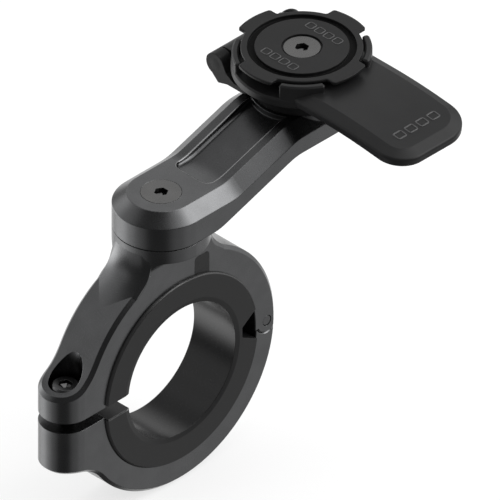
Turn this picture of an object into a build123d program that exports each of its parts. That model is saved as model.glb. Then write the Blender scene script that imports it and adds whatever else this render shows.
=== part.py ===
from build123d import *
import math
import os

# Bike phone mount, all sizes in millimetres.
# The origin is the centre of the handlebar bore, X runs along the handlebar,
# Y points forward from the pivot to the phone head, and Z points up.

# Clamp ring and insert
BAR_R = 17.8
INSERT_R = 24.9
INSERT_WIDTH = 14.4
LEAD_IN_R = 19.0
LEAD_IN_DEPTH = 0.3
RING_R = 31.85
RING_WIDTH = 12.9
RING_EDGE = 0.9
BORE_EDGE = 0.2
JAW_BORE_GAP = 0.3
INSERT_SLIT = 4.1
WEB_R = 19.8
WEB_TOP_Z = 2.4
WEB_LOW_Z = -0.4
NOTCH_TOP_Z = 6.1
NOTCH_LOW_Z = -3.2
KEY_Y = 7.1
KEY_WIDTH = 4.9
KEY_TOP = 29.7
KEY_FOOT = 18.5
KEY_CORNER = 1.2

# Bolt lugs and clamp bolt
BOLT_Y = -31.9
LUG_GAP = 2.8
LUG_END_Z = 8.1
LUG_SWEEP_DEG = 150
LUG_SWEEP_Y1 = -30.5
LUG_SWEEP_Z1 = 11.7
LUG_SWEEP_Y2 = -33.2
LUG_SWEEP_Z2 = 9.6
LUG_BOTTOM_Z = -13.5
LUG_BLEND_R = 12.0
BOLT_POCKET_R = 4.1
BOLT_SEAT_Z = 4.6
BOLT_HEAD_R = 3.4
BOLT_HEAD_H = 4.0
BOLT_LENGTH = 12.0
BOLT_R = 1.95
BOLT_ROOT_R = 1.6
BOLT_HOLE_GAP = 0.3
BOLT_SOCKET_AF = 3.0
TAPPED_R = 2.0

# Jaw hinge
PIN_INSET = 3.1
PIN_Y = RING_R - PIN_INSET
PIN_Z = -0.3
PIN_R = 1.4
EYE_R = 2.95
EYE_GAP = 0.3
CUP_EDGE = 0.3
KNUCKLE_HALF = 2.2
SIDE_GAP = 0.1
FRONT_LOW_Z = -1.35
JAW_TOP_Z = -1.55
JAW_REAR_Z = -3.1
SHANK_INSET = 0.4
RUN_FIT = 0.05

# Swivel boss, pivot screw and washer
BOSS_R = 11.7
BOSS_TOP_Z = 38.8
BOSS_LEDGE_Z = 35.3
NECK_HALF = 11.2
NECK_Z = 32.0
FLARE_R = 6.0
COVE_R = 2.8
SPIGOT_R = 6.0
SPIGOT_TOP_Z = 41.5
WASHER_R = 10.6
WASHER_IN_R = 6.3
WASHER_T = 0.75
WASHER_SINK = 0.6
PIVOT_SCREW_LENGTH = 15.0
SCREW_R = 2.5
SCREW_HEAD_R = 4.9
SCREW_SOCKET_AF = 3.0
SCREW_SOCKET_DEPTH = 2.4
HEAD_SCREW_HEAD_R = 4.45
HEAD_SCREW_LENGTH = 17.0
SINK_FIT = 0.08

# Arm
ARM_BOTTOM_Z = 39.0
ARM_TOP_Z = 48.0
ARM_HALF = BOSS_R
LAND_HALF = 8.2
ARM_CHAMFER_DROP = 2.85
HEAD_THREAD_DEPTH = 5.5
RISE_TOP_Y0 = 13.5
RISE_TOP_Y1 = 34.0
RISE_BOTTOM_Y0 = 7.8
RISE_BOTTOM_Y1 = 33.3
HEAD_Y = 46.85
HEAD_TOP_Z = 54.6
HEAD_BOTTOM_Z = 47.35
BEND_R = 14.0
POCKET_HALF = 5.9
POCKET_Y = 9.4
POCKET_FLOOR_Z = 47.0
POCKET_DEPTH = 1.6
POCKET_CORNER_R = 2.4
POCKET_FILLET_R = 0.8
POCKET_END_R = 12.6

# Phone head: heights, each standing on the one below it
BASE_T = 2.6
BASE_TOP_Z = HEAD_TOP_Z + BASE_T
LEVER_LIFT = 3.1
LEVER_BOTTOM_Z = BASE_TOP_Z + LEVER_LIFT
LEVER_T = 2.1
LEVER_RING_Z = LEVER_BOTTOM_Z + LEVER_T
HUB_RISE = 1.0
HUB_TOP_Z = LEVER_RING_Z + HUB_RISE
PLATEAU_RISE = 1.7
LEVER_TOP_Z = LEVER_RING_Z + PLATEAU_RISE
LUG_RISE = 2.05
REAR_LUG_RISE = 0.9
DISC_LIFT = 1.2
DISC_LOW_Z = LEVER_TOP_Z + DISC_LIFT
DISC_T = 1.2
DISC_TOP_Z = DISC_LOW_Z + DISC_T

# Head base, hub and lever hinge
SEAT_GAP = 0.05
BASE_R = 11.7
BASE_EDGE = 0.5
HUB_R = 9.5
HINGE_X = -17.3
HINGE_RISE = 1.3
HINGE_Z = BASE_TOP_Z + HINGE_RISE
BARREL_R = 2.9
LEVER_PIN_R = 1.25
EAR_OUT_Y = 11.7
EAR_IN_Y = 8.4
BARREL_HALF = 8.0
EAR_FOOT_X = -16.2
EAR_FOOT_DROP = 0.8
EAR_HEEL_X = -13.2
EAR_FOOT_DEG = 205
EAR_TOP_DEG = 32
EAR_KNEE_X = -13.6
EAR_KNEE_RISE = 0.4
EAR_ROOT_X = -10.9
FLOOR_T = 1.4
FLOOR_KNEE_X = -13.0
FLOOR_LIP_X = -16.6
FLOOR_LIP_T = 0.7
JOIN_X = -7.0

# Lever
LEVER_R = 16.8
LEVER_HOLE_R = 10.4
LEVER_WELL_R = 13.4
LUG_IN_R = 14.9
LUG_OUT_R = 16.6
LUG_HALF_DEG = 19.5
LUG_EDGE = 0.4
LUG_END_R = 0.6
RIM_EDGE = 0.4
PADDLE_ROOT_X = 4.0
RISE_X0 = 6.5
RISE_X1 = 11.5
RISE_BEND_R = 12.0
PADDLE_X = 45.8
PADDLE_HALF = 13.0
PADDLE_CORNER_R = 7.0
PADDLE_FAR_CORNER_R = 9.0
PADDLE_BEND_X = 17.0
PADDLE_BEND_LENGTH = 18.5
PADDLE_BEND_DEG = 6.5
BEVEL_WIDTH = 2.9
BEVEL_DROP = 1.3
PADDLE_WALL = 1.75
PADDLE_EDGE_R = 0.8
WEB_X = -12.0

# Lock disc
DISC_R = 14.5
LOBE_R = 16.8
LOBE_HALF = 5.3
DISC_CORNER_R = 0.8
DISC_HUB_R = 12.6
GROOVE_OUT_R = 13.0
GROOVE_IN_R = 11.2
GROOVE_DEPTH = 0.9
DISC_EDGE_R = 0.3
DISC_UNDER_EDGE = 0.5
SCREW_RECESS_R = 4.9
SCREW_RECESS_DEPTH = 0.25
SCREW_RECESS_STEP = 0.35

# Lever spring
SPRING_R = 10.4
SPRING_WIRE_R = 0.35
SPRING_TURNS = 2.5

# Longer than the whole part, for cutters that go right through it
REACH = 200.0


def tube(outer, inner, z_low, z_high):
    ring = Pos(0, 0, z_low) * extrude(Circle(outer) - Circle(inner), z_high - z_low)
    return ring


def rod(radius, z_low, z_high):
    return Pos(0, 0, z_low) * extrude(Circle(radius), z_high - z_low)


def side_plate(face, x_low, x_high):
    # The face is drawn with Y across and Z up, and is pulled along X.
    placed = Pos(x_low, 0, 0) * (Plane.YZ * face)
    return extrude(placed, x_high - x_low, dir=(1, 0, 0))


def cross_bar(y, z, radius, x_low, x_high):
    return side_plate(Pos(y, z) * Circle(radius), x_low, x_high)


def block(x_low, x_high, y_low, y_high, z_low, z_high):
    size = (x_high - x_low, y_high - y_low, z_high - z_low)
    centre = Pos((x_low + x_high) / 2, (y_low + y_high) / 2, (z_low + z_high) / 2)
    return centre * Box(*size)


def hex_hole(across, top_z, depth):
    shape = RegularPolygon(across / math.sqrt(3), 6)
    return Pos(0, 0, top_z - depth) * extrude(shape, depth + 1)


def lug_plan(z_low, z_high):
    # The clamp seen from above: as wide as the ring, with a round end at the bolt.
    half = RING_WIDTH / 2
    plan = Rectangle(RING_WIDTH, REACH, align=(Align.CENTER, Align.MIN))
    plan = Pos(0, BOLT_Y) * (plan + Circle(half))
    return Pos(0, 0, z_low) * extrude(plan, z_high - z_low)


def upper_outline():
    # Seen from the side: the ring, the neck flaring out of it, and the lug's top.
    lug_end = BOLT_Y - RING_WIDTH / 2
    turn = math.radians(LUG_SWEEP_DEG)
    start = (RING_R * math.cos(turn), RING_R * math.sin(turn))
    lug_top = Spline(start, (LUG_SWEEP_Y1, LUG_SWEEP_Z1), (LUG_SWEEP_Y2, LUG_SWEEP_Z2),
                     (lug_end, LUG_END_Z),
                     tangents=[(math.cos(turn + math.pi / 2), math.sin(turn + math.pi / 2)),
                               (-1, -0.2)])
    back = CenterArc((0, 0), RING_R, 90, LUG_SWEEP_DEG - 90)
    low = LUG_GAP / 2
    walls = Polyline((lug_end, LUG_END_Z), (lug_end, low), (0, low), (0, RING_R))
    rear = make_face(Curve() + [lug_top, walls, back])
    front = Pos(RING_R, RING_R + FRONT_LOW_Z) * Rectangle(2 * RING_R, 2 * RING_R)
    ring = rear + (Circle(RING_R) & front)
    neck_side = Pos(0, BOSS_TOP_Z / 2) * Rectangle(2 * NECK_HALF, BOSS_TOP_Z)
    shape = ring + neck_side
    corners = ShapeList()
    for vertex in shape.vertices():
        on_ring = abs(math.hypot(vertex.X, vertex.Y) - RING_R) < 0.01
        if on_ring and abs(abs(vertex.X) - NECK_HALF) < 0.01:
            corners.append(vertex)
    return fillet(corners, FLARE_R)


def lower_outline():
    lug_end = BOLT_Y - RING_WIDTH / 2
    blend_z = LUG_BOTTOM_Z - LUG_BLEND_R
    reach = RING_R + LUG_BLEND_R
    blend_y = -math.sqrt(reach ** 2 - blend_z ** 2)
    lug = Pos((lug_end + blend_y / 2) / 2, LUG_BOTTOM_Z / 2)
    lug = lug * Rectangle(blend_y / 2 - lug_end, -LUG_BOTTOM_Z)
    touch = (blend_y * RING_R / reach, blend_z * RING_R / reach)
    web = make_face(Polyline((blend_y, LUG_BOTTOM_Z), (blend_y, blend_z), touch,
                             (blend_y / 2, LUG_BOTTOM_Z), (blend_y, LUG_BOTTOM_Z)))
    web = web - Pos(blend_y, blend_z) * Circle(LUG_BLEND_R)
    low = -LUG_GAP / 2
    shape = Circle(RING_R) + lug + web
    top = Pos(0, REACH / 2 + low) * Rectangle(REACH, REACH)
    top_front = Pos(REACH / 2, REACH / 2 + JAW_TOP_Z) * Rectangle(REACH, REACH)
    return shape - top - top_front


def edged(solid):
    # A bevel along the outer edges of the two side faces and over the lug end.
    half = RING_WIDTH / 2
    picked = ShapeList()
    for edge in solid.edges():
        centre = edge @ 0.5
        on_face = abs(abs(centre.X) - half) < 0.01
        level = abs((edge @ 0).Z - (edge @ 1).Z) < 0.001
        at_gap = level and abs(centre.Z) < LUG_GAP
        at_top = level and centre.Z > BOSS_LEDGE_Z
        upright = abs((edge @ 0).Y - (edge @ 1).Y) < 0.001 and centre.Y < BOLT_Y + 1
        radius = math.hypot(centre.Y, centre.Z)
        on_lug_end = centre.Y < BOLT_Y - 0.5 and abs(centre.X) < half
        if at_gap or at_top or upright or radius < INSERT_R:
            continue
        if on_face or on_lug_end:
            picked.append(edge)
    return chamfer(picked, RING_EDGE)


def rim():
    # The bevelled ring as a full disc, which trims the hinge eyes.
    disc = cross_bar(0, 0, RING_R, -RING_WIDTH / 2, RING_WIDTH / 2)
    return chamfer(disc.edges().filter_by(GeomType.CIRCLE), RING_EDGE)


def neck():
    # The neck under the swivel boss, with a cove up to the boss's ledge at each side.
    half = RING_WIDTH / 2
    centre_x = half + COVE_R
    foot_z = BOSS_LEDGE_Z - COVE_R
    cove = Pos(0, (foot_z + BOSS_LEDGE_Z) / 2) * Rectangle(2 * centre_x, COVE_R)
    cove = cove - Pos(centre_x, foot_z) * Circle(COVE_R)
    cove = cove - Pos(-centre_x, foot_z) * Circle(COVE_R)
    cove = extrude(Plane.XZ * cove, BOSS_R, both=True)
    cove = cove & rod(BOSS_R, foot_z, BOSS_LEDGE_Z)
    return cove + rod(BOSS_R, BOSS_LEDGE_Z, BOSS_TOP_Z)


def key_shape(grow):
    width = KEY_WIDTH + 2 * grow
    top = KEY_TOP + grow
    height = top - KEY_FOOT
    shape = Pos(KEY_Y, KEY_FOOT) * RectangleRounded(width, 2 * height, KEY_CORNER)
    return shape & Pos(KEY_Y, KEY_FOOT + height / 2) * Rectangle(width, height)


def bore_cutter(radius):
    half = RING_WIDTH / 2
    hole = cross_bar(0, 0, radius, -half - 1, half + 1)
    for side in (-1, 1):
        mouth = Plane((side * half, 0, 0), z_dir=(side, 0, 0))
        cone = Solid.make_cone(radius, radius + BORE_EDGE, BORE_EDGE,
                               Plane((side * (half - BORE_EDGE), 0, 0), z_dir=(side, 0, 0)))
        hole = hole + cone + extrude(mouth * Circle(radius + BORE_EDGE), 0.5)
    return hole


def clamp_body():
    half = RING_WIDTH / 2
    ring = side_plate(upper_outline(), -half, half) & lug_plan(-REACH, REACH)
    ring = edged(ring)
    around = block(-half - 1, half + 1, -BOSS_R - 1, BOSS_R + 1, NECK_Z, REACH)
    ring = ring - (around - rod(BOSS_R, NECK_Z, BOSS_TOP_Z))
    ring = ring + (cross_bar(PIN_Y, PIN_Z, EYE_R, -half, half) & rim())
    body = ring + neck() + rod(SPIGOT_R, BOSS_TOP_Z - 1, SPIGOT_TOP_Z)
    body = body - bore_cutter(INSERT_R) - side_plate(key_shape(0), -half - 1, half + 1)
    gap = KNUCKLE_HALF + SIDE_GAP
    body = body - cross_bar(PIN_Y, PIN_Z, EYE_R + EYE_GAP, -gap, gap)
    body = body - cross_bar(PIN_Y, PIN_Z, PIN_R, -half - 1, half + 1)
    body = body - tube(WASHER_R + 0.1, WASHER_IN_R - 0.3, BOSS_TOP_Z - WASHER_SINK, BOSS_TOP_Z + 1)
    body = body - rod(SCREW_R, ARM_TOP_Z - PIVOT_SCREW_LENGTH, ARM_TOP_Z)
    body = body - Pos(0, BOLT_Y, 0) * rod(BOLT_POCKET_R, BOLT_SEAT_Z, REACH)
    return body - Pos(0, BOLT_Y, 0) * rod(BOLT_R + BOLT_HOLE_GAP, 0, REACH)


def clamp_jaw():
    half = RING_WIDTH / 2
    ring = side_plate(lower_outline(), -half, half) & lug_plan(-REACH, REACH)
    ring = edged(ring)
    cup = EYE_R + EYE_GAP
    knuckle = cross_bar(PIN_Y, PIN_Z, EYE_R, -KNUCKLE_HALF, KNUCKLE_HALF)
    shank = block(-KNUCKLE_HALF, KNUCKLE_HALF, PIN_Y - EYE_R, PIN_Y + EYE_R - SHANK_INSET,
                  PIN_Z - 2 * EYE_R, PIN_Z)
    ring = ring - cross_bar(PIN_Y, PIN_Z, cup, -half - 1, half + 1)
    ring = ring - block(-half - 1, half + 1, PIN_Y, PIN_Y + EYE_R + cup, JAW_REAR_Z - EYE_GAP, REACH)
    for side in (-1, 1):
        mouth = Plane((side * (half - CUP_EDGE), PIN_Y, PIN_Z), z_dir=(side, 0, 0))
        ring = ring - Solid.make_cone(cup, cup + CUP_EDGE, CUP_EDGE, mouth)
    shank = shank & cross_bar(0, 0, RING_R, -half, half)
    jaw = ring + (knuckle & rim()) + shank
    jaw = jaw - bore_cutter(INSERT_R + JAW_BORE_GAP)
    jaw = jaw - cross_bar(PIN_Y, PIN_Z, PIN_R + RUN_FIT, -half, half)
    return jaw - Pos(0, BOLT_Y, 0) * rod(TAPPED_R, BOLT_SEAT_Z - BOLT_LENGTH - 4, 0)


def bar_insert():
    half = INSERT_WIDTH / 2
    ring = cross_bar(0, 0, INSERT_R, -half, half)
    ring = ring + side_plate(key_shape(0), -RING_WIDTH / 2, RING_WIDTH / 2)
    ring = ring - cross_bar(0, 0, BAR_R, -half - 1, half + 1)
    for side in (-1, 1):
        start = Plane((side * (half - LEAD_IN_DEPTH), 0, 0), z_dir=(side, 0, 0))
        ring = ring - Solid.make_cone(BAR_R, LEAD_IN_R, LEAD_IN_DEPTH, start)
    ring = ring - block(-half, half, -REACH, 0, -INSERT_SLIT / 2, INSERT_SLIT / 2)
    # The notch's two slanted sides run on past the sleeve's outer face.
    past = 1.2
    low = WEB_LOW_Z + past * (NOTCH_LOW_Z - WEB_LOW_Z)
    top = WEB_TOP_Z + past * (NOTCH_TOP_Z - WEB_TOP_Z)
    outer = WEB_R + past * (INSERT_R - WEB_R)
    notch = make_face(Polyline((WEB_R, WEB_LOW_Z), (outer, low), (outer, top), (WEB_R, WEB_TOP_Z),
                               (WEB_R, WEB_LOW_Z)))
    return ring - side_plate(notch, -half, half)


def jaw_pin():
    half = RING_WIDTH / 2 - 0.1
    pin = cross_bar(PIN_Y, PIN_Z, PIN_R, -half, half)
    return chamfer(pin.edges().filter_by(GeomType.CIRCLE), 0.2)


def clamp_bolt():
    top = BOLT_SEAT_Z + BOLT_HEAD_H
    head = rod(BOLT_HEAD_R, BOLT_SEAT_Z, top)
    head = chamfer(head.edges().group_by(Axis.Z)[-1], 0.45)
    head = head - hex_hole(BOLT_SOCKET_AF, top, 2.2)
    thread_top = -LUG_GAP / 2 + 1.5
    bolt = head + rod(BOLT_R, thread_top, BOLT_SEAT_Z)
    bolt = bolt + rod(BOLT_ROOT_R, BOLT_SEAT_Z - BOLT_LENGTH, thread_top)
    return Pos(0, BOLT_Y, 0) * bolt


def countersunk(head_r, length, top_z):
    cone_h = head_r - SCREW_R
    head = Solid.make_cone(SCREW_R, head_r, cone_h, Plane((0, 0, top_z - cone_h)))
    screw = head + rod(SCREW_R, top_z - length, top_z - cone_h)
    return screw - hex_hole(SCREW_SOCKET_AF, top_z, SCREW_SOCKET_DEPTH)


def countersink(head_r, top_z, fit):
    cone_h = head_r - SCREW_R
    cone = Solid.make_cone(SCREW_R + fit, head_r + fit, cone_h, Plane((0, 0, top_z - cone_h)))
    return cone + rod(head_r + fit, top_z, REACH)


def pivot_screw():
    return countersunk(SCREW_HEAD_R, PIVOT_SCREW_LENGTH, ARM_TOP_Z)


def pivot_washer():
    low = BOSS_TOP_Z - WASHER_SINK
    return tube(WASHER_R, WASHER_IN_R, low, low + WASHER_T)


def corners_near(face, points, radius):
    picked = ShapeList()
    for vertex in face.vertices():
        for point in points:
            if math.hypot(vertex.X - point[0], vertex.Y - point[1]) < 0.01:
                picked.append(vertex)
    return fillet(picked, radius)


def arm_side():
    far = HEAD_Y + ARM_HALF
    near = -ARM_HALF
    bends = [(RISE_BOTTOM_Y0, ARM_BOTTOM_Z), (RISE_BOTTOM_Y1, HEAD_BOTTOM_Z),
             (RISE_TOP_Y1, HEAD_TOP_Z), (RISE_TOP_Y0, ARM_TOP_Z)]
    outline = Polyline((near, ARM_BOTTOM_Z), bends[0], bends[1], (far, HEAD_BOTTOM_Z),
                       (far, HEAD_TOP_Z), bends[2], bends[3], (near, ARM_TOP_Z),
                       (near, ARM_BOTTOM_Z))
    return corners_near(make_face(outline), bends, BEND_R)


def above_arm():
    bends = [(RISE_TOP_Y0, ARM_TOP_Z), (RISE_TOP_Y1, HEAD_TOP_Z)]
    outline = Polyline((0, ARM_TOP_Z), bends[0], bends[1], (REACH, HEAD_TOP_Z), (REACH, REACH),
                       (0, REACH), (0, ARM_TOP_Z))
    return corners_near(make_face(outline), bends, BEND_R)


def arm_pocket():
    slope = (HEAD_TOP_Z - ARM_TOP_Z) / (RISE_TOP_Y1 - RISE_TOP_Y0)
    bend_y = RISE_TOP_Y0 + (POCKET_FLOOR_Z + POCKET_DEPTH - ARM_TOP_Z) / slope
    end_y = RISE_TOP_Y1 + 4
    end_z = POCKET_FLOOR_Z + (end_y - bend_y) * slope
    bend = (bend_y, POCKET_FLOOR_Z)
    outline = Polyline((POCKET_Y, POCKET_FLOOR_Z), bend, (end_y, end_z), (end_y, REACH),
                       (POCKET_Y, REACH), (POCKET_Y, POCKET_FLOOR_Z))
    side = corners_near(make_face(outline), [bend], BEND_R)
    cutter = side_plate(side, -POCKET_HALF, POCKET_HALF)
    upright = [e for e in cutter.edges().filter_by(Axis.Z) if abs((e @ 0.5).Y - POCKET_Y) < 0.01]
    cutter = fillet(upright, POCKET_CORNER_R)
    floor = ShapeList()
    for edge in cutter.edges():
        if (edge @ 0.5).Z < HEAD_TOP_Z and abs((edge @ 0).Y - (edge @ 1).Y) > 0.2:
            if abs((edge @ 0).X - (edge @ 1).X) < 0.01:
                floor.append(edge)
    cutter = fillet(floor, POCKET_FILLET_R)
    return cutter - Pos(0, HEAD_Y, 0) * rod(POCKET_END_R, 0, REACH)


def arm():
    height = HEAD_TOP_Z + 5
    plan = Pos(0, HEAD_Y / 2) * Rectangle(2 * ARM_HALF, HEAD_Y)
    plan = plan + Circle(ARM_HALF) + Pos(0, HEAD_Y) * Circle(ARM_HALF)
    body = extrude(plan, height) & side_plate(arm_side(), -REACH, REACH)
    run = ARM_HALF - LAND_HALF
    length = 1.5 * math.hypot(run, ARM_CHAMFER_DROP)
    for side in (-1, 1):
        start = Pos(side * LAND_HALF, 0, 0) * (Plane.YZ * above_arm())
        body = body - extrude(start, length, dir=(side * run, 0, -ARM_CHAMFER_DROP))
    outer = 2 * ARM_HALF
    ring = make_face(Polyline((LAND_HALF, ARM_TOP_Z), (ARM_HALF, ARM_TOP_Z - ARM_CHAMFER_DROP),
                              (outer, ARM_TOP_Z - ARM_CHAMFER_DROP), (outer, height),
                              (LAND_HALF, height), (LAND_HALF, ARM_TOP_Z)))
    body = body - (revolve(Plane.XZ * ring, Axis.Z) & block(-REACH, REACH, -REACH, 0, 0, REACH))
    body = body + Pos(0, HEAD_Y, 0) * rod(ARM_HALF, HEAD_BOTTOM_Z, HEAD_TOP_Z)
    body = body - arm_pocket()
    body = body - rod(SPIGOT_R + RUN_FIT, 0, SPIGOT_TOP_Z + 0.2)
    body = body - rod(SCREW_R + RUN_FIT, 0, REACH) - countersink(SCREW_HEAD_R, ARM_TOP_Z, SINK_FIT)
    return body - Pos(0, HEAD_Y, 0) * rod(SCREW_R, HEAD_TOP_Z - HEAD_THREAD_DEPTH, REACH)


def at_head(shape):
    return Pos(0, HEAD_Y, 0) * shape


def head_screw():
    return at_head(countersunk(HEAD_SCREW_HEAD_R, HEAD_SCREW_LENGTH, DISC_TOP_Z - SCREW_RECESS_DEPTH))


def across(face, y_low, y_high):
    # The face is drawn with X across and Z up, and is pulled along Y.
    placed = Pos(0, y_high, 0) * (Plane.XZ * face)
    return extrude(placed, y_high - y_low, dir=(0, -1, 0))


def on_barrel(angle):
    turn = math.radians(angle)
    return (HINGE_X + BARREL_R * math.cos(turn), HINGE_Z + BARREL_R * math.sin(turn))


def ear(y_low, y_high):
    low = HEAD_TOP_Z + SEAT_GAP
    foot = on_barrel(EAR_FOOT_DEG)
    floor_top = HEAD_TOP_Z + FLOOR_T
    knee = (EAR_KNEE_X, BASE_TOP_Z + EAR_KNEE_RISE)
    toe = (EAR_FOOT_X, HEAD_TOP_Z - EAR_FOOT_DROP)
    web = make_face(Polyline(foot, toe, (EAR_HEEL_X, low), (JOIN_X, low), (JOIN_X, floor_top),
                             (EAR_ROOT_X, floor_top), knee,
                             on_barrel(EAR_TOP_DEG), (HINGE_X, HINGE_Z), foot))
    web = web + Pos(HINGE_X, HINGE_Z) * Circle(BARREL_R)
    return across(web, y_low, y_high)


def head_base():
    low = HEAD_TOP_Z + SEAT_GAP
    base = rod(BASE_R, low, BASE_TOP_Z)
    base = chamfer(base.edges().group_by(Axis.Z)[-1], BASE_EDGE) + rod(HUB_R, low, HUB_TOP_Z)
    floor_top = HEAD_TOP_Z + FLOOR_T
    floor = make_face(Polyline((EAR_FOOT_X, low), (JOIN_X, low), (JOIN_X, floor_top),
                               (FLOOR_KNEE_X, floor_top), (FLOOR_LIP_X, HEAD_TOP_Z + FLOOR_LIP_T),
                               (EAR_FOOT_X, low)))
    base = base + across(floor, -EAR_OUT_Y, EAR_OUT_Y)
    base = base + ear(EAR_IN_Y, EAR_OUT_Y) + ear(-EAR_OUT_Y, -EAR_IN_Y)
    hole = Pos(HINGE_X, HINGE_Z) * Circle(LEVER_PIN_R)
    base = base - across(hole, -REACH, REACH)
    return at_head(base - rod(SCREW_R + RUN_FIT, 0, REACH))


def lever_pin():
    shape = Pos(HINGE_X, HINGE_Z) * Circle(LEVER_PIN_R)
    return at_head(across(shape, -EAR_OUT_Y + 0.3, EAR_OUT_Y - 0.3))


def lever_lug(middle, top_z):
    # A block that follows the ring, with rounded ends and a bevel along its top.
    start = math.radians(middle - LUG_HALF_DEG)
    end = math.radians(middle + LUG_HALF_DEG)
    far = 2 * LUG_OUT_R
    wedge = make_face(Polyline((0, 0), (far * math.cos(start), far * math.sin(start)),
                               (far * math.cos(end), far * math.sin(end)), (0, 0)))
    sector = (Circle(LUG_OUT_R) - Circle(LUG_IN_R)) & wedge
    sector = fillet(sector.vertices(), LUG_END_R)
    lug = Pos(0, 0, LEVER_BOTTOM_Z) * extrude(sector, top_z - LEVER_BOTTOM_Z)
    return chamfer(lug.edges().group_by(Axis.Z)[-1], LUG_EDGE)


def paddle_section():
    # Cross-section with its top at height zero: a flat slab with two long bevels.
    low = -BEVEL_DROP - PADDLE_WALL
    flat = PADDLE_HALF - BEVEL_WIDTH
    shape = make_face(Polyline((-PADDLE_HALF, low), (PADDLE_HALF, low), (PADDLE_HALF, -BEVEL_DROP),
                               (flat, 0), (-flat, 0), (-PADDLE_HALF, -BEVEL_DROP),
                               (-PADDLE_HALF, low)))
    shoulders = [v for v in shape.vertices() if abs(v.Y + BEVEL_DROP) < 0.001]
    return fillet(shoulders, PADDLE_EDGE_R)


def paddle_tip(reach):
    # The level end plate, with the bevel running round its two round corners.
    near = Pos(reach / 2, -PADDLE_HALF / 2) * Rectangle(reach, PADDLE_HALF)
    far = Pos(reach / 2, PADDLE_HALF / 2) * Rectangle(reach, PADDLE_HALF)
    plan = near + far + Pos(-reach / 2, 0) * Rectangle(reach, 2 * PADDLE_HALF)
    for vertex_y, radius in ((-PADDLE_HALF, PADDLE_CORNER_R), (PADDLE_HALF, PADDLE_FAR_CORNER_R)):
        end = [v for v in plan.vertices() if v.X > 0 and abs(v.Y - vertex_y) < 0.001]
        plan = fillet(end, radius)
    slope = math.degrees(math.atan2(BEVEL_WIDTH, BEVEL_DROP))
    low = -BEVEL_DROP - PADDLE_WALL
    plate = Pos(0, 0, low) * extrude(plan, PADDLE_WALL)
    plate = plate + Pos(0, 0, -BEVEL_DROP) * extrude(plan, BEVEL_DROP, taper=slope)
    shoulder = [e for e in plate.edges() if abs((e @ 0.5).Z + BEVEL_DROP) < 0.001]
    shoulder = [e for e in shoulder if (e @ 0.5).X > -reach + 0.001]
    plate = fillet(shoulder, PADDLE_EDGE_R)
    return plate & block(0, REACH, -REACH, REACH, -REACH, REACH)


def paddle_rise():
    # Side view of the root: from the ring's level up to the plateau in a smooth S.
    bends = [(RISE_X0, LEVER_RING_Z), (RISE_X1, LEVER_TOP_Z)]
    outline = Polyline((PADDLE_ROOT_X, LEVER_BOTTOM_Z), (PADDLE_ROOT_X, LEVER_RING_Z), bends[0],
                       bends[1], (PADDLE_BEND_X, LEVER_TOP_Z), (PADDLE_BEND_X, LEVER_BOTTOM_Z),
                       (PADDLE_ROOT_X, LEVER_BOTTOM_Z))
    return corners_near(make_face(outline), bends, RISE_BEND_R)


def paddle():
    # Level over the ring, then a gentle bend down to the sloping tip.
    root = side_plate(Pos(0, LEVER_TOP_Z) * paddle_section(), PADDLE_ROOT_X, PADDLE_BEND_X)
    root = root & across(paddle_rise(), -PADDLE_HALF, PADDLE_HALF)
    angle = math.radians(PADDLE_BEND_DEG)
    bend_r = PADDLE_BEND_LENGTH / angle
    centre = (PADDLE_BEND_X, 0, LEVER_TOP_Z - bend_r)
    start = Pos(PADDLE_BEND_X, 0, LEVER_TOP_Z) * (Plane.YZ * paddle_section())
    bend = revolve(start, Axis(centre, (0, 1, 0)), PADDLE_BEND_DEG)
    reach = (PADDLE_X - PADDLE_BEND_X - bend_r * math.sin(angle)) / math.cos(angle)
    tip = Pos(*centre) * Rot(0, PADDLE_BEND_DEG, 0) * Pos(0, 0, bend_r) * paddle_tip(reach)
    return root + bend + tip


def lever():
    body = tube(LEVER_R, LEVER_HOLE_R, LEVER_BOTTOM_Z, LEVER_RING_Z)
    outer_top = body.edges().group_by(Axis.Z)[-1].sort_by(SortBy.LENGTH)[-1]
    body = chamfer(outer_top, RIM_EDGE) + paddle()
    body = body - rod(LEVER_HOLE_R, 0, REACH) - rod(LEVER_WELL_R, LEVER_RING_Z, REACH)
    for middle in (-45, 45):
        body = body + lever_lug(middle, LEVER_TOP_Z + LUG_RISE)
        body = body + lever_lug(middle + 180, LEVER_TOP_Z + REAR_LUG_RISE)
    body = body + block(HINGE_X, WEB_X, -BARREL_HALF, BARREL_HALF, LEVER_BOTTOM_Z,
                        HINGE_Z + BARREL_R)
    barrel = Pos(HINGE_X, HINGE_Z) * Circle(BARREL_R)
    body = body + across(barrel, -BARREL_HALF, BARREL_HALF)
    hole = Pos(HINGE_X, HINGE_Z) * Circle(LEVER_PIN_R + RUN_FIT)
    return at_head(body - across(hole, -REACH, REACH))


def lock_disc():
    lobe = 2 * LOBE_HALF
    cross = Rectangle(REACH, lobe) + Rectangle(lobe, REACH)
    plan = Circle(DISC_R) + (Circle(LOBE_R) & cross)
    plan = fillet(plan.vertices(), DISC_CORNER_R)
    disc = Pos(0, 0, DISC_LOW_Z) * extrude(plan, DISC_T)
    disc = fillet(disc.edges().group_by(Axis.Z)[-1], DISC_EDGE_R)
    disc = chamfer(disc.edges().group_by(Axis.Z)[0], DISC_UNDER_EDGE)
    disc = disc + rod(DISC_HUB_R, HUB_TOP_Z, DISC_LOW_Z)
    disc = disc - tube(GROOVE_OUT_R, GROOVE_IN_R, DISC_TOP_Z - GROOVE_DEPTH, REACH)
    disc = disc - rod(SCREW_R + RUN_FIT, 0, REACH)
    fit_top = DISC_TOP_Z - SCREW_RECESS_DEPTH
    disc = disc - countersink(HEAD_SCREW_HEAD_R, fit_top, SINK_FIT)
    disc = disc - rod(SCREW_RECESS_R, fit_top - SCREW_RECESS_STEP, REACH)
    return at_head(disc)


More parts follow.
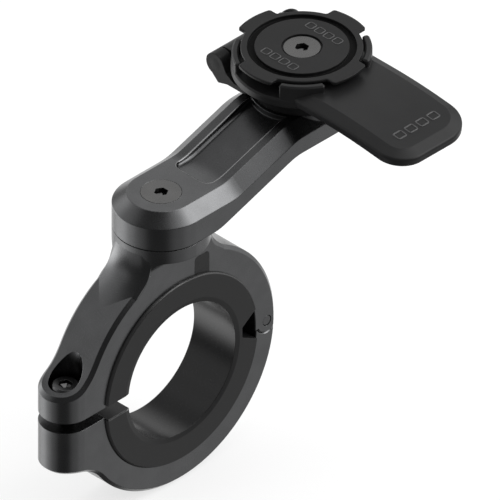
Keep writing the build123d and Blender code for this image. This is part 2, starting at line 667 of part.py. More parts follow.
def lever_spring():
    low = BASE_TOP_Z + SPRING_WIRE_R
    height = LEVER_BOTTOM_Z - BASE_TOP_Z - 2 * SPRING_WIRE_R
    path = Pos(0, 0, low) * Helix(height / SPRING_TURNS, height, SPRING_R)
    start = path ^ 0
    wire = sweep(start * Plane.XY.location * Circle(SPRING_WIRE_R), path=path)
    return at_head(wire)


PARTS = {
    "clamp_body": clamp_body,
    "clamp_jaw": clamp_jaw,
    "bar_insert": bar_insert,
    "jaw_pin": jaw_pin,
    "clamp_bolt": clamp_bolt,
    "pivot_washer": pivot_washer,
    "pivot_screw": pivot_screw,
    "arm": arm,
    "head_screw": head_screw,
    "head_base": head_base,
    "lever_pin": lever_pin,
    "lever": lever,
    "lever_spring": lever_spring,
    "lock_disc": lock_disc,
}

os.makedirs("parts", exist_ok=True)
for name, make in PARTS.items():
    solid = make()
    print(name, "valid" if solid.is_valid else "INVALID", round(solid.volume, 1))
    export_step(solid, "parts/" + name + ".step")
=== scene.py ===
import math

import bpy
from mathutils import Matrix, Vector


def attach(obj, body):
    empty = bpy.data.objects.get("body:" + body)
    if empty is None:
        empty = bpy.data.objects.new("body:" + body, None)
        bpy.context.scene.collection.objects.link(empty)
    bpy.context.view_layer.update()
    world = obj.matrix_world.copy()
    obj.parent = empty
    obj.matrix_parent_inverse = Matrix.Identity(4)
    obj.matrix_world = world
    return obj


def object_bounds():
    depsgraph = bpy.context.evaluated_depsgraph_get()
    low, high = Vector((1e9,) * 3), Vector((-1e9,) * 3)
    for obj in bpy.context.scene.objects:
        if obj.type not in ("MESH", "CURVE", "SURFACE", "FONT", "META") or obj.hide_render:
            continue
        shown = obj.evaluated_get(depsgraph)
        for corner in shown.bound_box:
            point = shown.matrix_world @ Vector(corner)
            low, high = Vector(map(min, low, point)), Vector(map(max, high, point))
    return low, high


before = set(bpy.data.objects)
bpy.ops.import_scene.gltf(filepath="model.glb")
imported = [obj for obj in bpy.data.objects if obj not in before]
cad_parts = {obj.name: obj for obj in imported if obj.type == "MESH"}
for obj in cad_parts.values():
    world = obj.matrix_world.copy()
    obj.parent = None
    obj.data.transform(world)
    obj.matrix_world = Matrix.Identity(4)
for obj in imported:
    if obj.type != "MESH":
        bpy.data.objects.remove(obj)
cad_low, cad_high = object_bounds()

# Sizes and places are in mm, as in the CAD part, and turn into metres where Blender gets them.
# Colours are linear.
MM = 0.001

# The camera sees the part in parallel projection, from one corner above.
VIEW_CENTRE = Vector((14.775, 14.775, 31.17))
VIEW_WIDTH = 117.65
TO_CAMERA = Vector((1, -1, 1)).normalized()
CAMERA_DISTANCE = 600

X_AXIS = Vector((1, 0, 0))
Y_AXIS = Vector((0, 1, 0))

# Soft lights of the studio: the direction each stands in, and its strength. One as bright
# as 1 all round would show every colour as it is written.
LIGHTS = [
    # The key, high on the right: the arm's long bevel mirrors it.
    ((0.65, 0.55, 0.5), 5.5),
    # A row of soft boxes overhead, for faces that look up and toward the camera.
    ((0.25, 0.7, 0.65), 2.25),
    ((0.3, 0.3, 0.9), 2.25),
    ((-0.2, 0.2, 0.95), 1.75),
    # A tall strip on the left: upright cylinders mirror its lower half on their left.
    ((-0.9, -0.3, 0.2), 1.5),
    ((-0.95, -0.2, -0.2), 4.0),
    ((-0.8, -0.4, -0.45), 1.75),
    ((-0.5, -0.5, -0.7), 1.5),
    ((-0.2, -0.85, -0.5), 0.5),
    # Weak boxes in front on the left, for the ring's round outside and the floor of its bore.
    ((-0.6, -0.7, 0.3), 0.75),
    ((-0.6, -0.3, 0.7), 0.75),
    # Weak boxes behind, for level tops and for faces that tilt a little from level.
    ((0.0, 0.9, 0.4), 1.5),
    ((-0.8, 0.5, 0.3), 1.25),
    ((-0.5, 0.7, 0.55), 0.75),
    ((-0.9, 0.0, 0.45), 0.75),
    # Weak boxes on the right, level and low, for the flat sides of the clamp and the arm.
    ((0.65, 0.5, -0.6), 0.75),
    ((0.3, 0.85, -0.4), 0.75),
    ((0.2, 1.0, 0.0), 1.0),
    ((0.8, 0.0, -0.6), 0.5),
]
LIGHT_SPREAD = math.radians(27)
# Light from all round: a little on everything, and some more on matt surfaces.
AMBIENT = 0.14
MATT_FILL = 0.6

# The pale backdrop behind the part reaches this far round the direction of view.
BACKDROP_EDGE = math.radians(44)
BACKDROP_FULL = math.radians(22)

# The floor's half width, its paper's colour, and how much of its own shading it keeps.
FLOOR_HALF = 3000
FLOOR_COLOUR = 0.9
FLOOR_SHADE = 0.3

# The head: its axis, its screw's top, the disc's top and groove, and how far off the axis
# the disc's marks stand.
HEAD_Y = 46.85
HEAD_SCREW_TOP = 66.25
DISC_TOP = 66.5
GROOVE_IN = 11.2
GROOVE_OUT = 13.0
MARKS_OFF_AXIS = 7.4

# The lever: its hinge pin, the ears' ends on either side of the head's axis, the plugs in
# them, and the sloping top of its tip.
LEVER_PIN_X = -17.3
LEVER_PIN_Z = 58.5
EAR_END = 11.7
PLUG_R = 1.6
TIP_MIDDLE = Vector((38.1, HEAD_Y, 62.751))
TIP_SLOPE = math.radians(6.5)

# The clamp: its side face, the insert's bore, the outer face of the insert's lip, the top
# of its slit's lip, and the bolt's axis and top.
SIDE_X = 6.45
BORE_R = 17.8
LIP_X = 7.17
SLIT_LIP_Z = -2.03
BOLT_Y = -31.9
BOLT_TOP = 8.6

# The arm's top: its two levels, where its rise starts and ends, and its bends' radius.
ARM_TOP = 48.0
HEAD_TOP = 54.6
RISE_START = 13.5
RISE_END = 34.0
BEND_R = 14.0

# The arm's pocket: half its width, its corners' radius, and where its straight sides run.
POCKET_HALF = 5.9
POCKET_CORNER_R = 2.4
POCKET_NEAR = 11.8
POCKET_FAR = 34.9

# The screws' sockets: their size across flats, and how deep they are drilled.
SOCKET_ACROSS = 3.0
SOCKET_DEPTH = 1.45
BOLT_SOCKET_DEPTH = 0.95

# How fine the colour's clouds and the rubbed patches on edges are, per metre.
CLOUD_SCALE = 220
PATCH_SCALE = 900

# The disc's groove: the share of its colour kept under its painted shade, and what it adds to
# the insert's roughness there. The insert's bore: what it takes off the roughness.
GROOVE_PAINTED_SHADE = 0.2
GROOVE_ROUGHER = 0.4
BORE_SMOOTHER = 0.17


def mix_colour(tree, factor, low, high):
    mix = tree.nodes.new("ShaderNodeMix")
    mix.data_type = "RGBA"
    for socket, colour in ((6, low), (7, high)):
        if isinstance(colour, tuple):
            mix.inputs[socket].default_value = (*colour, 1)
        else:
            tree.links.new(colour, mix.inputs[socket])
    tree.links.new(factor, mix.inputs[0])
    return mix.outputs[2]


def ranged(tree, source, from_low, from_high, to_low, to_high):
    node = tree.nodes.new("ShaderNodeMapRange")
    node.inputs["From Min"].default_value = from_low
    node.inputs["From Max"].default_value = from_high
    node.inputs["To Min"].default_value = to_low
    node.inputs["To Max"].default_value = to_high
    tree.links.new(source, node.inputs["Value"])
    return node.outputs["Result"]


def maths(tree, operation, first, second):
    node = tree.nodes.new("ShaderNodeMath")
    node.operation = operation
    for socket, value in ((0, first), (1, second)):
        if isinstance(value, (int, float)):
            node.inputs[socket].default_value = value
        else:
            tree.links.new(value, node.inputs[socket])
    return node.outputs[0]


def placed(tree, scale, location=(0, 0, 0)):
    # The point in the part's own frame, scaled and then moved.
    place = tree.nodes.new("ShaderNodeTexCoord")
    mapping = tree.nodes.new("ShaderNodeMapping")
    mapping.inputs["Location"].default_value = location
    mapping.inputs["Scale"].default_value = scale
    tree.links.new(place.outputs["Object"], mapping.inputs["Vector"])
    return mapping.outputs["Vector"]


def vector_maths(tree, operation, first):
    node = tree.nodes.new("ShaderNodeVectorMath")
    node.operation = operation
    tree.links.new(first, node.inputs[0])
    return node


def noise(tree, scale, detail, stretch=(1, 1, 1)):
    texture = tree.nodes.new("ShaderNodeTexNoise")
    texture.inputs["Scale"].default_value = scale
    texture.inputs["Detail"].default_value = detail
    tree.links.new(placed(tree, stretch), texture.inputs["Vector"])
    return texture.outputs["Fac"]


def edge_mask(tree, radius):
    # Near an edge the rounded normal leaves the flat one, which gives 0 to 1 there.
    rounded = tree.nodes.new("ShaderNodeBevel")
    rounded.samples = 6
    rounded.inputs["Radius"].default_value = radius * MM
    flat = tree.nodes.new("ShaderNodeNewGeometry")
    dot = vector_maths(tree, "DOT_PRODUCT", rounded.outputs["Normal"])
    tree.links.new(flat.outputs["Normal"], dot.inputs[1])
    return rounded.outputs["Normal"], ranged(tree, dot.outputs["Value"], 0.99, 0.8, 0, 1)


def groove_shade_mask(tree):
    # 1 inside the lock disc's ring groove, where shade is painted, and 0 elsewhere.
    flat = placed(tree, (1, 1, 0), (0, -HEAD_Y * MM, 0))
    away = vector_maths(tree, "LENGTH", flat).outputs["Value"]
    split = tree.nodes.new("ShaderNodeSeparateXYZ")
    tree.links.new(placed(tree, (1, 1, 1)), split.inputs["Vector"])
    inner = ranged(tree, away, (GROOVE_IN - 0.1) * MM, (GROOVE_IN + 0.15) * MM, 0, 1)
    outer = ranged(tree, away, (GROOVE_OUT - 0.15) * MM, (GROOVE_OUT + 0.1) * MM, 1, 0)
    deep = ranged(tree, split.outputs["Z"], (DISC_TOP - 0.35) * MM, (DISC_TOP - 0.05) * MM, 1, 0)
    return maths(tree, "MULTIPLY", maths(tree, "MULTIPLY", inner, outer), deep)


def bore_mask(tree):
    # 1 on the insert's bore, which is smoother than its faces, and 0 elsewhere.
    away = vector_maths(tree, "LENGTH", placed(tree, (0, 1, 1))).outputs["Value"]
    return ranged(tree, away, (BORE_R + 0.02) * MM, (BORE_R + 0.15) * MM, 1, 0)


def finish(name, colour, metallic, roughness, spread, grain, depth, edge, wear_and_edge_light, level=0.5,
           stretch=(1, 1, 1), groove=False, bore=False):
    # The roughness varies by its spread with the grain, whose relief has this depth. An edge is
    # tinted over this width, at most halfway to the colour times the factor: partly wear, and
    # partly painted highlight, with painted shade where the factor is below 1.
    material = bpy.data.materials.new(name)
    material.use_nodes = True
    tree = material.node_tree
    tree.nodes.clear()
    output = tree.nodes.new("ShaderNodeOutputMaterial")
    surface = tree.nodes.new("ShaderNodeBsdfPrincipled")
    surface.inputs["Metallic"].default_value = metallic
    surface.inputs["Specular IOR Level"].default_value = level
    tree.links.new(surface.outputs["BSDF"], output.inputs["Surface"])
    # Colour: a faint cloud, and edges that are partly rubbed and partly painted light: lighter
    # as a highlight, darker as shade where the factor is below 1.
    cloud = ranged(tree, noise(tree, CLOUD_SCALE, 3), 0.35, 0.65, 0, 1)
    low = tuple(part * 0.95 for part in colour)
    high = tuple(part * 1.05 for part in colour)
    tint = mix_colour(tree, cloud, low, high)
    rounded, edges = edge_mask(tree, edge)
    patches = ranged(tree, noise(tree, PATCH_SCALE, 2), 0.4, 0.62, 0.25, 1)
    rubbed_and_lit_edges = maths(tree, "MULTIPLY", maths(tree, "MULTIPLY", edges, patches), 0.5)
    worn_and_lit_colour = tuple(min(1.0, part * wear_and_edge_light) for part in colour)
    painted = mix_colour(tree, rubbed_and_lit_edges, tint, worn_and_lit_colour)
    # Roughness and relief share one fine grain.
    fine = noise(tree, grain, 4, stretch)
    rough = ranged(tree, fine, 0.3, 0.7, roughness - spread, roughness + spread)
    if groove:
        # Painted shade: the groove's colour is darkened as if it lay in shade, and it is made
        # duller.
        inside = groove_shade_mask(tree)
        shaded = tuple(part * GROOVE_PAINTED_SHADE for part in colour)
        painted = mix_colour(tree, inside, painted, shaded)
        rough = maths(tree, "ADD", rough, maths(tree, "MULTIPLY", inside, GROOVE_ROUGHER))
    if bore:
        smooth = maths(tree, "MULTIPLY", bore_mask(tree), BORE_SMOOTHER)
        rough = maths(tree, "SUBTRACT", rough, smooth)
    tree.links.new(painted, surface.inputs["Base Color"])
    tree.links.new(rough, surface.inputs["Roughness"])
    bump = tree.nodes.new("ShaderNodeBump")
    bump.inputs["Strength"].default_value = 1.0
    bump.inputs["Distance"].default_value = depth * MM
    tree.links.new(fine, bump.inputs["Height"])
    tree.links.new(rounded, bump.inputs["Normal"])
    tree.links.new(bump.outputs["Normal"], surface.inputs["Normal"])
    return material


def link(thing):
    bpy.context.scene.collection.objects.link(thing)
    return thing


def make_camera():
    data = bpy.data.cameras.new("camera")
    data.type = "ORTHO"
    data.ortho_scale = VIEW_WIDTH * MM
    data.clip_end = 10
    camera = link(bpy.data.objects.new("camera", data))
    camera.location = (VIEW_CENTRE + TO_CAMERA * CAMERA_DISTANCE) * MM
    camera.rotation_euler = TO_CAMERA.to_track_quat("Z", "Y").to_euler()
    bpy.context.scene.camera = camera


def round_direction(tree, place, direction, edge, full, top):
    # A smooth spot in the sky: 0 outside the edge, and the top value within the full angle.
    dot = vector_maths(tree, "DOT_PRODUCT", place.outputs["Generated"])
    dot.inputs[1].default_value = Vector(direction).normalized()
    spot = tree.nodes.new("ShaderNodeMapRange")
    spot.interpolation_type = "SMOOTHSTEP"
    spot.inputs["From Min"].default_value = math.cos(edge)
    spot.inputs["From Max"].default_value = math.cos(full)
    spot.inputs["To Max"].default_value = top
    tree.links.new(dot.outputs["Value"], spot.inputs["Value"])
    return spot.outputs["Result"]


def make_world():
    world = bpy.data.worlds.new("studio")
    bpy.context.scene.world = world
    world.use_nodes = True
    tree = world.node_tree
    tree.nodes.clear()
    output = tree.nodes.new("ShaderNodeOutputWorld")
    place = tree.nodes.new("ShaderNodeTexCoord")
    rays = tree.nodes.new("ShaderNodeLightPath")
    fill = maths(tree, "MULTIPLY", rays.outputs["Is Diffuse Ray"], MATT_FILL)
    total = maths(tree, "ADD", fill, AMBIENT)
    for direction, strength in LIGHTS:
        spot = round_direction(tree, place, direction, LIGHT_SPREAD, 0, strength)
        total = maths(tree, "ADD", spot, total)
    room = tree.nodes.new("ShaderNodeBackground")
    tree.links.new(total, room.inputs["Strength"])
    white = tree.nodes.new("ShaderNodeBackground")
    white.inputs["Color"].default_value = (1, 1, 1, 1)
    white.inputs["Strength"].default_value = 1.0
    # The backdrop is white to the camera, and in what metal and gloss mirror of it.
    mirrored = maths(tree, "MAXIMUM", rays.outputs["Is Glossy Ray"],
                     rays.outputs["Is Transmission Ray"])
    behind = round_direction(tree, place, -TO_CAMERA, BACKDROP_EDGE, BACKDROP_FULL, 1.0)
    seen = maths(tree, "MAXIMUM", rays.outputs["Is Camera Ray"],
                 maths(tree, "MULTIPLY", mirrored, behind))
    mix = tree.nodes.new("ShaderNodeMixShader")
    tree.links.new(seen, mix.inputs[0])
    tree.links.new(room.outputs[0], mix.inputs[1])
    tree.links.new(white.outputs[0], mix.inputs[2])
    tree.links.new(mix.outputs[0], output.inputs["Surface"])


def make_floor(height):
    half = FLOOR_HALF * MM
    corners = [(-half, -half, height), (half, -half, height), (half, half, height),
               (-half, half, height)]
    mesh = bpy.data.meshes.new("floor")
    mesh.from_pydata(corners, [], [(0, 1, 2, 3)])
    floor = link(bpy.data.objects.new("floor", mesh))
    material = bpy.data.materials.new("floor_paper")
    material.use_nodes = True
    tree = material.node_tree
    tree.nodes.clear()
    output = tree.nodes.new("ShaderNodeOutputMaterial")
    paper = tree.nodes.new("ShaderNodeBsdfDiffuse")
    paper.inputs["Color"].default_value = (FLOOR_COLOUR, FLOOR_COLOUR, FLOOR_COLOUR, 1)
    white = tree.nodes.new("ShaderNodeEmission")
    white.inputs["Strength"].default_value = 1.0
    mix = tree.nodes.new("ShaderNodeMixShader")
    mix.inputs[0].default_value = FLOOR_SHADE
    tree.links.new(white.outputs[0], mix.inputs[1])
    tree.links.new(paper.outputs[0], mix.inputs[2])
    tree.links.new(mix.outputs[0], output.inputs["Surface"])
    mesh.materials.append(material)
    # Some of the soft light comes from below, so the floor lets it by.
    floor.visible_diffuse = False
    floor.visible_glossy = False
    floor.visible_transmission = False
    floor.visible_shadow = False


def paint(material, *nodes):
    for node in nodes:
        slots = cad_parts[node].data.materials
        slots.clear()
        slots.append(material)


def add_piece(name, vertices, faces, body, material, sharp=35):
    mesh = bpy.data.meshes.new(name)
    mesh.from_pydata([Vector(point) * MM for point in vertices], [], faces)
    mesh.materials.append(material)
    for polygon in mesh.polygons:
        polygon.use_smooth = True
    mesh.set_sharp_from_angle(angle=math.radians(sharp))
    piece = link(bpy.data.objects.new(name, mesh))
    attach(piece, body)


def tube_faces(rows, count, first=0, flip=False):
    # The faces of a closed outline carried through rows of points, with a cap at each end.
    faces = []
    for row in range(rows - 1):
        low = first + row * count
        for side in range(count):
            ahead = (side + 1) % count
            faces.append((low + side, low + ahead, low + count + ahead, low + count + side))
    faces.append(tuple(reversed(range(first, first + count))))
    faces.append(tuple(range(first + (rows - 1) * count, first + rows * count)))
    if flip:
        faces = [tuple(reversed(face)) for face in faces]
    return faces


def ring_faces(rows, count, first):
    # The same with no caps: the last row joins the first.
    faces = []
    for row in range(rows):
        upper = (row + 1) % rows
        for step in range(count):
            ahead = (step + 1) % count
            faces.append((first + row * count + step, first + row * count + ahead,
                          first + upper * count + ahead, first + upper * count + step))
    return faces


def rounded_rectangle(width, height, radius):
    points = []
    for turn, (side_x, side_y) in enumerate(((1, 1), (-1, 1), (-1, -1), (1, -1))):
        for step in range(5):
            angle = math.radians(90 * turn + 22.5 * step)
            points.append((side_x * (width / 2 - radius) + radius * math.cos(angle),
                           side_y * (height / 2 - radius) + radius * math.sin(angle)))
    return points


def frame_row(name, centre, along, across, pitch, size, stroke, lift, body):
    # A row of four small raised frames, all one piece.
    count = 4
    corner = 0.62
    sunk = 0.02
    up = along.cross(across)
    ease = stroke * 0.22
    profile = [(0, -sunk), (0, lift - ease), (ease, lift), (stroke - ease, lift),
               (stroke, lift - ease), (stroke, -sunk)]
    vertices = []
    faces = []
    for place in range(count):
        middle = centre + along * pitch * (place - (count - 1) / 2)
        first = len(vertices)
        for inset, level in profile:
            outline = rounded_rectangle(size[0] - 2 * inset, size[1] - 2 * inset, corner - inset)
            for x, y in outline:
                vertices.append(middle + along * x + across * y + up * level)
        faces += ring_faces(len(profile), len(outline), first)
    add_piece(name, vertices, faces, body, mark_plastic)


def screw_thread(name, centre, root, crest, low, high, pitch, body):
    # One ridge wound round the shank, with its foot sunk in the shank.
    steps = 28
    sunk = 0.08
    total = int(steps * (high - low - pitch) / pitch)
    profile = [(root - sunk, -0.42 * pitch), (root, -0.42 * pitch), (crest, -0.06 * pitch),
               (crest, 0.06 * pitch), (root, 0.42 * pitch), (root - sunk, 0.42 * pitch)]
    vertices = []
    for step in range(total + 1):
        angle = 2 * math.pi * step / steps
        # The ridge runs out over the last half turn at each end.
        fade = min(1.0, 2 * step / steps, 2 * (total - step) / steps)
        height = low + pitch / 2 + pitch * step / steps
        for radius, level in profile:
            reach = min(radius, root - 0.02 + (crest - root + 0.02) * fade)
            vertices.append((centre.x + reach * math.cos(angle),
                             centre.y + reach * math.sin(angle), centre.z + height + level))
    faces = tube_faces(total + 1, len(profile))
    add_piece(name, vertices, faces, body, bolt_steel)


def neck_skirt(name, front):
    # The soft foot of the swivel boss, where it runs out into the clamp's round top. Each
    # level is an arc between the clamp's two bevels, and turns into the boss's wall above.
    # A level is its height, its radius, half its arc's width, and where its sides end.
    levels = [(23.6, 21.3, 5.6, 17.6), (24.4, 20.42, 5.6, 17.0), (25.2, 19.5, 5.6, 16.4),
              (26.0, 18.53, 5.6, 15.8), (26.7, 17.68, 5.6, 15.2), (27.4, 16.84, 5.6, 14.6),
              (28.1, 16.05, 5.6, 13.9), (28.8, 15.3, 5.6, 13.1), (29.5, 14.62, 5.6, 12.2),
              (30.2, 14.03, 5.6, 11.5), (31.0, 13.46, 5.6, 10.95), (31.8, 13.0, 5.6, 10.6),
              (32.6, 12.64, 5.56, 10.3), (33.4, 12.36, 5.46, 10.0), (34.1, 12.15, 5.3, 9.82),
              (35.0, 11.96, 5.0, 9.72), (36.0, 11.8, 4.6, 9.66), (37.2, 11.69, 4.2, 9.6)]
    edge = SIDE_X - 0.015
    inside = 8
    steps = 16
    vertices = []
    for z, radius, half, end in levels:
        level = [(-edge, inside), (-edge, end)]
        for step in range(steps + 1):
            x = half * (2 * step / steps - 1)
            level.append((x, math.sqrt(radius ** 2 - x ** 2)))
        level += [(edge, end), (edge, inside)]
        vertices += [(x, y * front, z) for x, y in level]
    faces = tube_faces(len(levels), len(level), flip=front > 0)
    add_piece(name, vertices, faces, "clamp", aluminium, 24)


def socket_floor(name, centre, depth, body):
    # The drilled end of a hexagon socket: six facets that fall to a point.
    gap = 0.03
    reach = SOCKET_ACROSS / math.sqrt(3) - gap
    point = depth + 0.7
    foot = depth + 0.9
    vertices = []
    for level in (-foot, -depth):
        for corner in range(6):
            angle = math.radians(60 * corner)
            vertices.append((centre.x + reach * math.cos(angle),
                             centre.y + reach * math.sin(angle), centre.z + level))
    vertices.append((centre.x, centre.y, centre.z - point))
    faces = [tuple(reversed(range(6)))]
    for corner in range(6):
        ahead = (corner + 1) % 6
        faces.append((corner, ahead, 6 + ahead, 6 + corner))
        faces.append((6 + corner, 6 + ahead, 12))
    add_piece(name, vertices, faces, body, socket_steel, 5)


def pin_plug(name, side):
    # A flush plug over the end of the lever's pin, with a flat face.
    steps = 32
    centre = Vector((LEVER_PIN_X, HEAD_Y + side * EAR_END, LEVER_PIN_Z))
    # A ring is its level past the ear's end, and its radius.
    shank = PLUG_R - 0.36
    rings = [(-0.28, shank), (-0.02, shank), (0.001, PLUG_R), (0.004, PLUG_R - 0.02)]
    vertices = []
    for level, size in rings:
        for step in range(steps):
            angle = 2 * math.pi * step / steps
            vertices.append((centre.x + size * math.cos(angle), centre.y + side * level,
                             centre.z + size * math.sin(angle)))
    vertices.append((centre.x, centre.y + side * rings[-1][0], centre.z))
    # The cap on the outer face is a fan round its middle.
    faces = tube_faces(len(rings), steps)[:-1]
    last = (len(rings) - 1) * steps
    for step in range(steps):
        faces.append((last + step, last + (step + 1) % steps, last + steps))
    if side > 0:
        faces = [tuple(reversed(face)) for face in faces]
    add_piece(name, vertices, faces, "head", plug_plastic, 10)


def insert_lip(name, side):
    # The rounded outer edge of the insert, where it stands proud of the clamp's side face, in a
    # lighter plastic that is a painted highlight.
    # A point of its profile is its place along the bar, and its radius.
    foot = SIDE_X - 0.01
    inner = 24.5
    profile = [(foot, inner), (foot, 25.28), (6.62, 25.26), (6.82, 25.18), (7.0, 25.06),
               (7.13, 24.92), (LIP_X, 24.8), (LIP_X, inner)]
    vertices = []
    faces = []
    # Angles from +Y toward +Z: one arc above the notch and the slit, and one below them.
    for start, end in ((15.5, 175.0), (185.0, 351.0)):
        first = len(vertices)
        steps = int((end - start) / 2)
        for step in range(steps + 1):
            angle = math.radians(start + (end - start) * step / steps)
            vertices += [(side * x, radius * math.cos(angle), radius * math.sin(angle))
                         for x, radius in profile]
        faces += tube_faces(steps + 1, len(profile), first, flip=side > 0)
    add_piece(name, vertices, faces, "clamp", lip_highlight_plastic, 40)


def slit_lip(name, side):
    # The rounded upper edge of the insert's lower half, along its slit, in a light plastic that
    # is a painted highlight.
    radius = 0.27
    bends = 6
    centre_x = 6.95
    centre_z = SLIT_LIP_Z - radius
    inner = 17.95
    outer = 24.6
    vertices = []
    for y in (-outer, -inner):
        for step in range(bends + 1):
            angle = math.pi / 2 * step / bends
            vertices.append((side * (centre_x + radius * math.cos(angle)), y,
                             centre_z + radius * math.sin(angle)))
        vertices.append((side * centre_x, y, centre_z))
    faces = tube_faces(2, bends + 2, flip=side > 0)
    add_piece(name, vertices, faces, "clamp", slit_highlight_plastic, 40)


def arm_top(y):
    # The height of the arm's top beside the pocket: level, a bend, the rise, a bend back.
    middle = (RISE_START + RISE_END) / 2
    if y > middle:
        return ARM_TOP + HEAD_TOP - arm_top(2 * middle - y)
    slope = math.atan2(HEAD_TOP - ARM_TOP, RISE_END - RISE_START)
    start = RISE_START - BEND_R * math.tan(slope / 2)
    if y < start:
        return ARM_TOP
    if y < start + BEND_R * math.sin(slope):
        return ARM_TOP + BEND_R - math.sqrt(BEND_R ** 2 - (y - start) ** 2)
    return ARM_TOP + (y - RISE_START) * math.tan(slope)


def pocket_lip(name):
    # The rounded upper edge of the arm's pocket, along both sides and round its near end, in a
    # lighter aluminium that is a painted highlight.
    # A point of the path is its place, and the level direction from it into the pocket.
    steps = 28
    bends = 8
    path = []
    for step in range(steps + 1):
        y = POCKET_FAR + (POCKET_NEAR - POCKET_FAR) * step / steps
        path.append((POCKET_HALF, y, arm_top(y), -1.0, 0.0))
    for step in range(1, bends + 1):
        turn = math.pi / 2 * step / bends
        path.append((POCKET_HALF - POCKET_CORNER_R * (1 - math.cos(turn)),
                     POCKET_NEAR - POCKET_CORNER_R * math.sin(turn), ARM_TOP,
                     -math.cos(turn), math.sin(turn)))
    path += [(-x, y, z, -inward, along) for x, y, z, inward, along in reversed(path)]
    # The bead's middle lies just behind the wall and below the top.
    radius = 0.28
    behind = 0.03
    below = 0.25
    around = 12
    vertices = []
    for x, y, z, inward, along in path:
        for corner in range(around):
            angle = 2 * math.pi * corner / around
            out = radius * math.cos(angle) - behind
            vertices.append((x + inward * out, y + along * out,
                             z - below + radius * math.sin(angle)))
    faces = tube_faces(len(path), around)
    add_piece(name, vertices, faces, "swing_arm", pocket_highlight_aluminium, 50)


def lug_nib(name):
    # A small round-topped stop on one of the lever's rear lugs. Its angle is from +X.
    middle = 145.0
    spread = 7.0
    inner = 15.15
    outer = 16.55
    low = 65.0
    high = 66.2
    sunk = 0.1
    along = 12
    across = 6
    vertices = []
    for level in (0, 1):
        for step in range(along + 1):
            angle = math.radians(middle + spread * (2 * step / along - 1))
            swell = math.sin(math.pi * step / along) ** 0.5
            for place in range(across + 1):
                radius = inner + (outer - inner) * place / across
                rise = swell * math.sin(math.pi * place / across) ** 0.4
                vertices.append((radius * math.cos(angle), HEAD_Y + radius * math.sin(angle),
                                 low - sunk + level * (sunk + (high - low) * rise)))
    row = across + 1
    layer = (along + 1) * row
    faces = []
    for step in range(along):
        for place in range(across):
            corner = step * row + place
            faces.append((corner, corner + 1, corner + row + 1, corner + row))
            faces.append((layer + corner, layer + corner + row, layer + corner + row + 1,
                          layer + corner + 1))
    # The rim goes once round the foot, and joins it to the top.
    rim = [step * row for step in range(along)]
    rim += [along * row + place for place in range(across)]
    rim += [step * row + across for step in range(along, 0, -1)]
    rim += list(range(across, 0, -1))
    for place, corner in enumerate(rim):
        ahead = rim[(place + 1) % len(rim)]
        faces.append((corner, ahead, layer + ahead, layer + corner))
    add_piece(name, vertices, faces, "release_lever", lever_plastic, 50)


scene = bpy.context.scene
scene.view_settings.view_transform = "Standard"
make_camera()
make_world()
make_floor(cad_low.z)

# Anodised aluminium: the arm's edges are rounder than the clamp's, and its pocket's edges are
# painted lighter as a highlight.
aluminium = finish("anodised_aluminium", (0.105, 0.106, 0.108), metallic=1.0, roughness=0.29,
                   spread=0.025, grain=4200, depth=0.0012, edge=0.16, wear_and_edge_light=1.8)
arm_aluminium = finish("arm_aluminium", (0.105, 0.106, 0.108), metallic=1.0, roughness=0.29,
                       spread=0.025, grain=4200, depth=0.0012, edge=0.3, wear_and_edge_light=1.5)
pocket_highlight_aluminium = finish("pocket_highlight_aluminium", (0.2, 0.2, 0.203), metallic=1.0, roughness=0.24,
                        spread=0.03, grain=4200, depth=0.001, edge=0.05, wear_and_edge_light=1.3)

# Moulded plastic of the head
base_plastic = finish("base_plastic", (0.010, 0.010, 0.0102), metallic=0.0, roughness=0.42,
                      spread=0.04, grain=3600, depth=0.006, edge=0.2, wear_and_edge_light=1.8, level=0.12)
plug_plastic = finish("plug_plastic", (0.010, 0.010, 0.0102), metallic=0.0, roughness=0.42,
                      spread=0.04, grain=3600, depth=0.006, edge=0.01, wear_and_edge_light=1.05, level=0.12)
disc_plastic = finish("disc_plastic", (0.010, 0.010, 0.0102), metallic=0.0, roughness=0.42,
                      spread=0.04, grain=3600, depth=0.005, edge=0.2, wear_and_edge_light=1.8, level=0.16,
                      groove=True)
lever_plastic = finish("lever_plastic", (0.0125, 0.0125, 0.0128), metallic=0.0, roughness=0.38,
                       spread=0.04, grain=3600, depth=0.006, edge=0.25, wear_and_edge_light=1.8, level=0.2)
mark_plastic = finish("mark_plastic", (0.05, 0.05, 0.0505), metallic=0.0, roughness=0.34,
                      spread=0.04, grain=5200, depth=0.003, edge=0.05, wear_and_edge_light=1.5, level=0.4)

# Moulded plastic of the insert: its body, its outer lip painted lighter as a highlight, and the
# edge of its slit painted much lighter as a highlight
# The insert's edges are painted much lighter, as a highlight.
liner_plastic = finish("liner_plastic", (0.0055, 0.0055, 0.0057), metallic=0.0, roughness=0.42,
                       spread=0.03, grain=4400, depth=0.004, edge=0.15, wear_and_edge_light=3.0, level=0.36,
                       bore=True)
lip_highlight_plastic = finish("lip_highlight_plastic", (0.02, 0.02, 0.0203), metallic=0.0, roughness=0.3,
                     spread=0.03, grain=4400, depth=0.003, edge=0.05, wear_and_edge_light=1.5)
slit_highlight_plastic = finish("slit_highlight_plastic", (0.13, 0.13, 0.131), metallic=0.0, roughness=0.34,
                      spread=0.03, grain=4400, depth=0.003, edge=0.05, wear_and_edge_light=1.3)

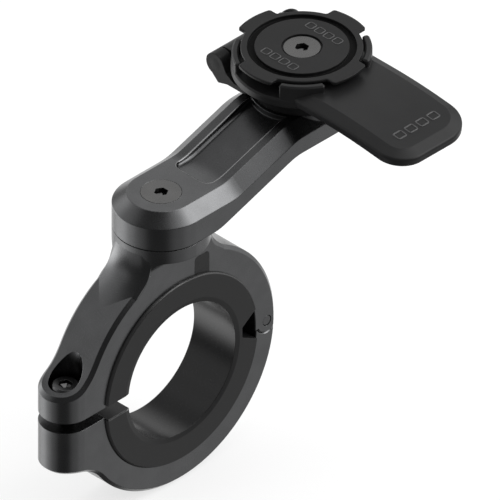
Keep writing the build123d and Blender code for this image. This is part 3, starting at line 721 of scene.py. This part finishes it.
# Steel of the screws and pins, of the sockets' ends, and of the spring
# The screws' edges are painted darker, as shade in the gap round each head.
screw_steel = finish("screw_steel", (0.118, 0.117, 0.116), metallic=1.0, roughness=0.28,
                     spread=0.03, grain=5200, depth=0.001, edge=0.12, wear_and_edge_light=0.15)
bolt_steel = finish("bolt_steel", (0.1, 0.1, 0.102), metallic=1.0, roughness=0.3,
                    spread=0.05, grain=5200, depth=0.002, edge=0.08, wear_and_edge_light=2.4)
socket_steel = finish("socket_steel", (0.07, 0.07, 0.07), metallic=1.0, roughness=0.24,
                      spread=0.03, grain=5200, depth=0.001, edge=0.03, wear_and_edge_light=1.2)
spring_steel = finish("spring_steel", (0.42, 0.42, 0.42), metallic=1.0, roughness=0.3,
                      spread=0.06, grain=2600, depth=0.002, edge=0.03, wear_and_edge_light=1.3,
                      stretch=(1, 1, 6))

paint(aluminium, "clamp_body", "clamp_jaw")
paint(arm_aluminium, "arm")
paint(base_plastic, "pivot_washer", "head_base")
paint(lever_plastic, "lever")
paint(disc_plastic, "lock_disc")
paint(liner_plastic, "bar_insert")
paint(screw_steel, "pivot_screw", "head_screw")
paint(bolt_steel, "jaw_pin", "clamp_bolt", "lever_pin")
paint(spring_steel, "lever_spring")

# Plain raised frames on the disc and on the lever's tip
for side, name in ((1, "disc_marks_front"), (-1, "disc_marks_rear")):
    frame_row(name, Vector((0, HEAD_Y + side * MARKS_OFF_AXIS, DISC_TOP)), X_AXIS, Y_AXIS,
              pitch=2.95, size=(2.35, 2.4), stroke=0.26, lift=0.1, body="head")
UP_THE_TIP = Vector((-math.cos(TIP_SLOPE), 0, math.sin(TIP_SLOPE)))
frame_row("lever_marks", TIP_MIDDLE, Y_AXIS, UP_THE_TIP,
          pitch=3.7, size=(2.9, 2.6), stroke=0.4, lift=0.13, body="release_lever")

# The bolt's thread, the boss's foot, the rounded edges of the insert and of the arm's
# pocket, and the lever's nib
screw_thread("bolt_thread", Vector((0, BOLT_Y, 0)), root=1.6, crest=1.93, low=-7.4, high=0.1,
             pitch=0.7, body="bolt")
neck_skirt("neck_skirt_rear", -1)
neck_skirt("neck_skirt_front", 1)
insert_lip("insert_lip_right", 1)
insert_lip("insert_lip_left", -1)
pocket_lip("pocket_lip")
slit_lip("slit_lip_right", 1)
slit_lip("slit_lip_left", -1)
lug_nib("lug_nib")

# The sockets' drilled ends, each below its screw's top, and the plugs over the lever's pin
for name, centre, depth, body in (
        ("pivot_socket", Vector((0, 0, ARM_TOP)), SOCKET_DEPTH, "clamp"),
        ("head_socket", Vector((0, HEAD_Y, HEAD_SCREW_TOP)), SOCKET_DEPTH, "swing_arm"),
        ("bolt_socket", Vector((0, BOLT_Y, BOLT_TOP)), BOLT_SOCKET_DEPTH, "bolt")):
    socket_floor(name, centre, depth, body)
pin_plug("ear_plug_near", -1)
pin_plug("ear_plug_far", 1)
